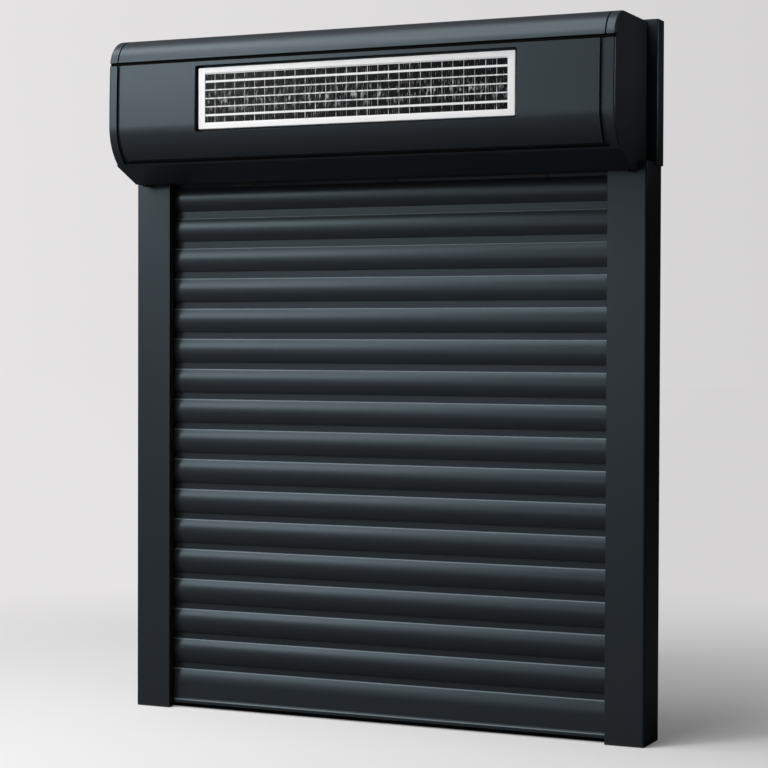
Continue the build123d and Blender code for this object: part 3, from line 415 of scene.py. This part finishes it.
# What a finish has unless it says otherwise: grains and drift are patterns per metre, bump depth is in metres
usualFinish = {
    "mottle": 0.05,
    "metallic": 0.0,
    "specular": 0.5,
    "tint": (1, 1, 1),
    "grains": 900.0,
    "bump": 0.1,
    "bumpDepth": 0.0002,
    "dust": 0.1,
}
finishes = {
    "anthracite_coat": {
        "colour": (0.0225, 0.0272, 0.0325),
        "rough": (0.34, 0.38),
        "specular": 0.36,
        "tint": (0.70, 0.90, 1.0),
        # colour of the painted highlight line on the slats' ledges
        "ledgeHighlight": (0.13, 0.16, 0.18),
        "grains": 1100.0,
        "drift": 5.0,
        "dust": 0.04,
    },
    "bare_aluminium": {
        "colour": (0.74, 0.75, 0.76),
        "rough": (0.28, 0.42),
        "metallic": 1.0,
        "grains": 500.0,
        "drift": 12.0,
    },
    "black_plastic": {
        "colour": (0.018, 0.018, 0.019),
        "mottle": 0.08,
        "rough": (0.45, 0.6),
        "grains": 1400.0,
        "drift": 9.0,
        "bump": 0.25,
        "dust": 0.2,
    },
    "seal_rubber": {
        "colour": (0.003, 0.003, 0.003),
        "mottle": 0.1,
        "rough": (0.75, 0.9),
        "specular": 0.12,
        "grains": 700.0,
        "drift": 14.0,
        "bump": 0.2,
        "bumpDepth": 0.0003,
        "dust": 0.2,
    },
    "cable_jacket": {"colour": (0.014, 0.014, 0.015), "rough": (0.4, 0.5), "drift": 20.0},
    "zinc_steel": {
        "colour": (0.52, 0.53, 0.54),
        "mottle": 0.22,
        "rough": (0.28, 0.5),
        "metallic": 1.0,
        "grains": 160.0,
        "drift": 45.0,
        "bump": 0.08,
    },
    "spring_steel": {
        "colour": (0.03, 0.032, 0.038),
        "mottle": 0.12,
        "rough": (0.25, 0.35),
        "metallic": 1.0,
        "grains": 600.0,
        "drift": 18.0,
        "bump": 0.05,
        "dust": 0.05,
    },
    "motor_steel": {"colour": (0.36, 0.37, 0.38), "rough": (0.35, 0.45), "metallic": 0.2, "drift": 10.0},
    "bearing_steel": {
        "colour": (0.62, 0.63, 0.64),
        "mottle": 0.03,
        "rough": (0.12, 0.2),
        "metallic": 1.0,
        "drift": 30.0,
        "bump": 0.03,
        "bumpDepth": 0.0001,
        "dust": 0.0,
    },
    "screw_steel": {
        "colour": (0.03, 0.031, 0.033),
        "mottle": 0.1,
        "rough": (0.3, 0.4),
        "metallic": 0.9,
        "drift": 60.0,
        "bump": 0.05,
        "bumpDepth": 0.0001,
        "dust": 0.05,
    },
    "white_frame": {
        "colour": (0.92, 0.925, 0.93),
        "mottle": 0.02,
        "rough": (0.3, 0.38),
        "grains": 1200.0,
        "drift": 9.0,
        "bump": 0.05,
        "bumpDepth": 0.0001,
        "dust": 0.0,
    },
    "battery_jacket": {
        "colour": (0.11, 0.12, 0.13),
        "mottle": 0.04,
        "rough": (0.35, 0.5),
        "grains": 1000.0,
        "drift": 9.0,
        "bump": 0.08,
    },
    "brush_pile": {
        "colour": (0.02, 0.02, 0.02),
        "mottle": 0.3,
        "rough": (0.7, 0.9),
        "grains": 2500.0,
        "drift": 300.0,
        "bump": 0.6,
        "bumpDepth": 0.0004,
        "dust": 0.0,
    },
}
materials = {name: coatedFinish(name, {**usualFinish, **values}) for name, values in finishes.items()}

# Solar laminate: black cells with pale ribbons, silver lines, fine wires and soft pale flecks, under glass.
# Widths are shares of a row, a column or a wire's step. A fade is a stretched noise between low and high.
laminateValues = {
    "margin": 0.003,
    "rows": 6,
    "columns": 29,
    "cell": (0.0007, 0.0009, 0.0016),
    "silver": (0.90, 0.91, 0.92),
    "outerRibbon": 0.13,
    "innerRibbon": 0.075,
    "brokenRibbons": 3,
    "ribbonLeast": 0.4,
    "ribbonFade": {"across": 2.3, "up": 1.0, "low": 0.25, "high": 0.6, "detail": 2.0},
    "columnLine": 0.035,
    "columnLeast": 0.1,
    "columnStrength": 0.78,
    "columnFade": {"across": 3.7, "up": 0.8, "low": 0.42, "high": 0.72, "detail": 2.0},
    "wires": 5,
    "wireWidth": 0.2,
    "wireStrength": 0.34,
    "wireFade": {"across": 5.3, "up": 0.9, "low": 0.5, "high": 0.75, "detail": 2.0},
    "fleckRow": 2.6,
    "fleckReach": 1.4,
    "fleckStrength": 0.75,
    "fleckFade": {"across": 3.4, "up": 0.9, "low": 0.55, "high": 0.8, "detail": 1.0},
    "rough": 0.3,
    "specular": 0.08,
}


def solarFinish(values):
    material, tree, surface, place = newMaterial("solar_cells")

    def calc(operation, *inputs):
        return mathNode(tree, operation, *inputs)

    def fadeLevel(across, up, fade):
        stretched = {"X": calc("MULTIPLY", across, fade["across"]), "Y": calc("MULTIPLY", up, fade["up"])}
        spot = addNode(tree, "ShaderNodeCombineXYZ", stretched)
        noise = noiseNode(tree, spot.outputs["Vector"], 1.0, fade["detail"])
        return rangeNode(tree, noise, (fade["low"], fade["high"]))

    def nearestLine(value):
        return calc("FLOOR", calc("ADD", value, 0.5))

    # distance to the nearest line, from 0 to 0.5
    def toLine(value):
        return calc("ABSOLUTE", calc("SUBTRACT", calc("FRACT", calc("ADD", value, 0.5)), 0.5))

    def distance(value, middle):
        return calc("ABSOLUTE", calc("SUBTRACT", value, middle))

    # columns counted from the left and rows from below, lines lying at the whole numbers
    low, high = cornersOf("solar_laminate")
    left, bottom = low[0] + values["margin"], low[2] + values["margin"]
    width, height = (high[k] - low[k] - 2 * values["margin"] for k in (0, 2))
    where = splitVector(tree, place)
    column = calc("MULTIPLY", calc("SUBTRACT", where["X"], left), values["columns"] / width)
    row = calc("MULTIPLY", calc("SUBTRACT", where["Z"], bottom), values["rows"] / height)

    # ribbons between the rows: the outer ones wide and even, those about the middle narrow and broken
    ribbonNumber = nearestLine(row)
    outer = calc("GREATER_THAN", distance(ribbonNumber, values["rows"] / 2), values["brokenRibbons"] / 2)
    wider = values["outerRibbon"] - values["innerRibbon"]
    ribbon = calc("LESS_THAN", toLine(row), calc("MULTIPLY_ADD", outer, wider, values["innerRibbon"]))
    broken = fadeLevel(column, ribbonNumber, values["ribbonFade"])
    broken = calc("MULTIPLY_ADD", broken, 1 - values["ribbonLeast"], values["ribbonLeast"])
    ribbonAmount = calc("MULTIPLY", ribbon, calc("MAXIMUM", outer, broken))

    # column lines and the finer wires between them, each fading along its height
    line = calc("LESS_THAN", toLine(column), values["columnLine"])
    faded = fadeLevel(nearestLine(column), row, values["columnFade"])
    faded = calc("MULTIPLY_ADD", faded, values["columnStrength"], values["columnLeast"])
    columnAmount = calc("MULTIPLY", line, faded)
    wireStep = calc("MULTIPLY", column, values["wires"])
    wire = calc("LESS_THAN", calc("FRACT", wireStep), values["wireWidth"])
    faded = fadeLevel(calc("FLOOR", wireStep), row, values["wireFade"])
    wireAmount = calc("MULTIPLY", wire, calc("MULTIPLY", faded, values["wireStrength"]))

    # soft pale flecks about the middle ribbons
    away = calc("DIVIDE", distance(row, values["fleckRow"]), values["fleckReach"])
    weight = calc("MAXIMUM", calc("SUBTRACT", 1.0, away), 0.0)
    fleck = fadeLevel(column, row, values["fleckFade"])
    fleckAmount = calc("MULTIPLY", fleck, calc("MULTIPLY", weight, values["fleckStrength"]))

    amount = ribbonAmount
    for other in (columnAmount, wireAmount, fleckAmount):
        amount = calc("MAXIMUM", amount, other)
    shade = mixColour(tree, amount, opaque(values["cell"]), opaque(values["silver"]))
    feed(tree, surface["Base Color"], shade)
    surface["Roughness"].default_value = values["rough"]
    surface["Specular IOR Level"].default_value = values["specular"]
    return material


materials["solar_cells"] = solarFinish(laminateValues)
print("finishes are made")

slotOf = {part["node"]: part["material_slot"] for part in frame["record"]["subparts"]}
bodyOf = {name: body for body, names in frame["record"]["behaviour"]["bodies"].items() for name in names}
for nodeName, cadObject in nodes.items():
    cadObject.data.materials.clear()
    cadObject.data.materials.append(materials[slotOf[nodeName]])


def activate(piece):
    clearSelection()
    piece.select_set(True)
    bpy.context.view_layer.objects.active = piece


# Least share of a face's normal that lies along a direction, for the face to count as looking that way
squareFacing = 0.9


def selectFacing(piece, direction):
    bpy.ops.object.mode_set(mode="EDIT")
    bpy.ops.mesh.select_all(action="DESELECT")
    bpy.ops.object.mode_set(mode="OBJECT")
    for face in piece.data.polygons:
        face.select = face.normal.dot(Vector(direction)) > squareFacing
    bpy.ops.object.mode_set(mode="EDIT")


def applyPlace(piece):
    activate(piece)
    bpy.ops.object.transform_apply(location=True, rotation=True, scale=True)


def applyModifier(piece, kind, **values):
    activate(piece)
    modifier = piece.modifiers.new(kind.lower(), kind)
    for key, value in values.items():
        setattr(modifier, key, value)
    bpy.ops.object.modifier_apply(modifier=modifier.name)


edgeSteps = 2


def roundEdges(piece, radius, sharpest):
    angle = math.radians(sharpest)
    applyModifier(piece, "BEVEL", width=radius, segments=edgeSteps, limit_method="ANGLE", angle_limit=angle)


def repeatPiece(piece, count, step):
    applyModifier(
        piece,
        "ARRAY",
        count=count,
        use_relative_offset=False,
        use_constant_offset=True,
        constant_offset_displace=step,
    )


def copyPiece(pattern, name):
    piece = bpy.data.objects.new(name, pattern.data.copy())
    bpy.context.scene.collection.objects.link(piece)
    return piece


def addBlock(centre, size):
    bpy.ops.mesh.primitive_cube_add(size=1, location=centre)
    block = bpy.context.object
    block.scale = size
    applyPlace(block)
    return block


smoothAngle = 36
flatFaceWeight = 80


# Gives a finished piece its shading, its name, the material of its slot, and its body to ride on
def finishPiece(piece, name, slotName, body, smooth=smoothAngle):
    applyPlace(piece)
    bpy.ops.object.shade_smooth_by_angle(angle=math.radians(smooth))
    applyModifier(piece, "WEIGHTED_NORMAL", keep_sharp=True, weight=flatFaceWeight)
    piece.name = name
    piece.data.name = name
    piece.data.materials.clear()
    piece.data.materials.append(materials[slotName])
    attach(piece, body)


# Outer shapes with their sharp edges rounded: edge radius in metres
softEdges = {
    "top_shell": 0.0006,
    "front_panel": 0.0006,
    "lower_panel": 0.0005,
    "back_panel": 0.0004,
    "end_cap_left": 0.0005,
    "end_cap_right": 0.0005,
    "rail_cover_left": 0.0004,
    "rail_cover_right": 0.0004,
    "rail_base_left": 0.0003,
    "rail_base_right": 0.0003,
    "rail_feet": 0.0003,
    "bottom_bar": 0.0004,
    "bar_end_plugs": 0.0003,
    "bar_seal": 0.0003,
    "slat_01": 0.00025,
    "solar_frame": 0.0005,
    "throat_guide": 0.0004,
    "hanger_straps": 0.0001,
}
# How a node's triangles are joined before its edges are rounded: a distance in metres, angles in degrees
softJoin = {"merge": 0.00001, "flat": 0.4, "edge": 38}


def softCopy(nodeName, radius, join):
    piece = copyPiece(nodes[nodeName], nodeName + "_soft")
    activate(piece)
    bpy.ops.object.mode_set(mode="EDIT")
    bpy.ops.mesh.select_all(action="SELECT")
    bpy.ops.mesh.remove_doubles(threshold=join["merge"])
    bpy.ops.mesh.dissolve_limited(angle_limit=math.radians(join["flat"]))
    bpy.ops.object.mode_set(mode="OBJECT")
    roundEdges(piece, radius, join["edge"])
    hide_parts(nodeName)
    return piece


for nodeName, edgeRadius in softEdges.items():
    piece = softCopy(nodeName, edgeRadius, softJoin)
    finishPiece(piece, nodeName + "_soft", slotOf[nodeName], bodyOf[nodeName])
    if nodeName == "hanger_straps":
        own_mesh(piece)
print("outer shapes are softened")

# The other slats are copies of the top one, one pitch lower each
firstSlat = bpy.data.objects["slat_01_soft"]
for number, nodeName in enumerate(slatNames[1:], start=1):
    slat = copyPiece(firstSlat, nodeName + "_soft")
    slat.location = (0, 0, -slatPitch * number)
    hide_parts(nodeName)
    finishPiece(slat, nodeName + "_soft", slotOf[nodeName], bodyOf[nodeName])
print("slats are in place")

# Painted shade: black strips put in the two long seams of the box, where the grooves lie in shade, each just
# above a panel, with a rib along its middle; the face is a strip's distance from the wall
seamShadeStripKinds = {
    "upperSeamShadeStrip": {"above": "front_panel", "face": 0.1384},
    "lowerSeamShadeStrip": {"above": "lower_panel", "face": 0.1215},
}
seamShadeStripValues = {
    "gap": 0.00015,
    "height": 0.0041,
    "thick": 0.0012,
    "endGap": 0.0002,
    "ribInset": 0.25,
    "ribRise": 0.4,
    "edge": 0.0002,
    "edgeAngle": 40,
}


def addSeamShadeStrip(name, kind, values):
    bottom = cornersOf(kind["above"])[1][2] + values["gap"]
    halfLength = cornersOf("lower_panel")[1][0] - values["endGap"]
    middleY = wallY - kind["face"] + values["thick"] / 2
    shadeStrip = addBlock(
        (0, middleY, bottom + values["height"] / 2),
        (2 * halfLength, values["thick"], values["height"]),
    )
    selectFacing(shadeStrip, (0, -1, 0))
    bpy.ops.mesh.inset(thickness=values["height"] * values["ribInset"], depth=0)
    rise = values["thick"] * values["ribRise"]
    bpy.ops.mesh.extrude_region_move(TRANSFORM_OT_translate={"value": (0, -rise, 0)})
    bpy.ops.object.mode_set(mode="OBJECT")
    roundEdges(shadeStrip, values["edge"], values["edgeAngle"])
    # black rubber finish for the painted-shade strip
    finishPiece(shadeStrip, name, "seal_rubber", "frame")


for shadeStripName, shadeStripKind in seamShadeStripKinds.items():
    addSeamShadeStrip(shadeStripName, shadeStripKind, seamShadeStripValues)
# the seams now hold their black strips of painted shade
print("seams are sealed")

# Pile brushes on both walls of each rail's groove: a backing strip, and rows of bristles towards the curtain
brushValues = {
    "width": 0.005,
    "backing": 0.0008,
    "rows": 3,
    "rowStep": 0.00165,
    "step": 0.0019,
    "root": 0.00058,
    "tip": 0.0003,
    "sides": 5,
    "smooth": 50,
}
brushLow, brushHigh = cornersOf("rail_brushes")
# where a brush stands, the way it points along Y, and how far it reaches
brushStrips = {
    "rearBrush": {"footY": brushHigh[1], "towards": -1, "reach": 0.0033},
    "frontBrush": {"footY": brushLow[1], "towards": 1, "reach": 0.0027},
}


def addBrush(name, side, strip, values):
    middleX = side * (brushHigh[0] - values["width"] / 2)
    bottom, top = brushLow[2], brushHigh[2]
    backingY = strip["footY"] + strip["towards"] * values["backing"] / 2
    backing = addBlock(
        (middleX, backingY, (bottom + top) / 2),
        (values["width"], values["backing"], top - bottom),
    )
    firstX = middleX - values["rowStep"] * (values["rows"] - 1) / 2
    middleY = strip["footY"] + strip["towards"] * (values["backing"] + strip["reach"]) / 2
    bpy.ops.mesh.primitive_cone_add(
        vertices=values["sides"],
        radius1=values["root"],
        radius2=values["tip"],
        depth=strip["reach"] - values["backing"],
        rotation=(math.radians(-90 * strip["towards"]), 0, 0),
        location=(firstX, middleY, bottom + values["step"] / 2),
    )
    pile = bpy.context.object
    applyPlace(pile)
    repeatPiece(pile, values["rows"], (values["rowStep"], 0, 0))
    repeatPiece(pile, int((top - bottom) / values["step"]), (0, 0, values["step"]))
    clearSelection()
    pile.select_set(True)
    backing.select_set(True)
    bpy.context.view_layer.objects.active = backing
    bpy.ops.object.join()
    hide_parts("rail_brushes")
    finishPiece(backing, name, "brush_pile", "frame", values["smooth"])


for side, sideName in ((-1, "Left"), (1, "Right")):
    for brushName, strip in brushStrips.items():
        addBrush(brushName + sideName, side, strip, brushValues)
print("brushes are in the rails")


# Where the screws of a kind sit, and how far each is turned about Y, from the box of the node they stand for
def capScrewPlaces(kind):
    low, high = cornersOf(kind["node"])
    seatX, seatZ = high[0] - kind["head"], low[2] + kind["headHeight"]
    return [((side * seatX, (low[1] + high[1]) / 2, seatZ), 0) for side in (-1, 1)]


def bracketScrewPlaces(kind):
    low, high = cornersOf(kind["node"])
    middleY, middleZ = ((low[k] + high[k]) / 2 for k in (1, 2))
    seatX = high[0] - kind["length"]
    spread = (high[1] - low[1]) / 2 - kind["head"]
    return [
        ((side * seatX, middleY + across * spread, middleZ + up * spread), side * 90)
        for side in (-1, 1)
        for across in (-1, 1)
        for up in (-1, 1)
    ]


# Pan-head screws with a hexagon socket: under the end caps, and through the two bearing plates
screwKinds = {
    "capScrew": {
        "node": "cap_screws",
        "places": capScrewPlaces,
        "head": 0.0042,
        "headHeight": 0.0024,
        "dome": 0.0011,
        "length": 0.012,
        "point": 0.001,
        "socket": 0.0022,
        "socketDepth": 0.0013,
    },
    "bracketScrew": {
        "node": "bracket_screws",
        "places": bracketScrewPlaces,
        "head": 0.0036,
        "headHeight": 0.002,
        "dome": 0.0009,
        "length": 0.0054,
        "point": 0.0008,
        "socket": 0.0019,
        "socketDepth": 0.0012,
    },
}
screwValues = {"shank": 0.002, "pointTaper": 0.7, "sides": 40, "domeSteps": 4, "socketSides": 6}


# The head's top looks down, the shank points up, and the seat of the head lies at the origin
def modelScrew(kind, values):
    bpy.ops.mesh.primitive_cylinder_add(
        vertices=values["sides"],
        radius=kind["head"],
        depth=kind["headHeight"],
        location=(0, 0, -kind["headHeight"] / 2),
    )
    screw = bpy.context.object
    applyPlace(screw)
    selectFacing(screw, (0, 0, -1))
    bpy.ops.mesh.bevel(offset=kind["dome"], segments=values["domeSteps"], affect="EDGES")
    bpy.ops.object.mode_set(mode="OBJECT")
    selectFacing(screw, (0, 0, 1))
    bpy.ops.mesh.inset(thickness=kind["head"] - values["shank"], depth=0)
    for rise in (kind["length"] - kind["point"], kind["point"]):
        bpy.ops.mesh.extrude_region_move(TRANSFORM_OT_translate={"value": (0, 0, rise)})
    bpy.ops.transform.resize(value=(values["pointTaper"], values["pointTaper"], 1))
    bpy.ops.object.mode_set(mode="OBJECT")
    bpy.ops.mesh.primitive_cylinder_add(
        vertices=values["socketSides"],
        radius=kind["socket"],
        depth=2 * kind["socketDepth"],
        location=(0, 0, -kind["headHeight"]),
    )
    socket = bpy.context.object
    applyModifier(screw, "BOOLEAN", operation="DIFFERENCE", object=socket, solver="EXACT")
    bpy.data.objects.remove(socket, do_unlink=True)
    return screw


for kindName, kind in screwKinds.items():
    pattern = modelScrew(kind, screwValues)
    for number, (place, turn) in enumerate(kind["places"](kind), start=1):
        screw = copyPiece(pattern, kindName)
        screw.rotation_euler = (0, math.radians(turn), 0)
        screw.location = place
        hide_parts(kind["node"])
        finishPiece(screw, f"{kindName}{number}", "screw_steel", "frame")
    bpy.data.objects.remove(pattern, do_unlink=True)
print("screws are in place")
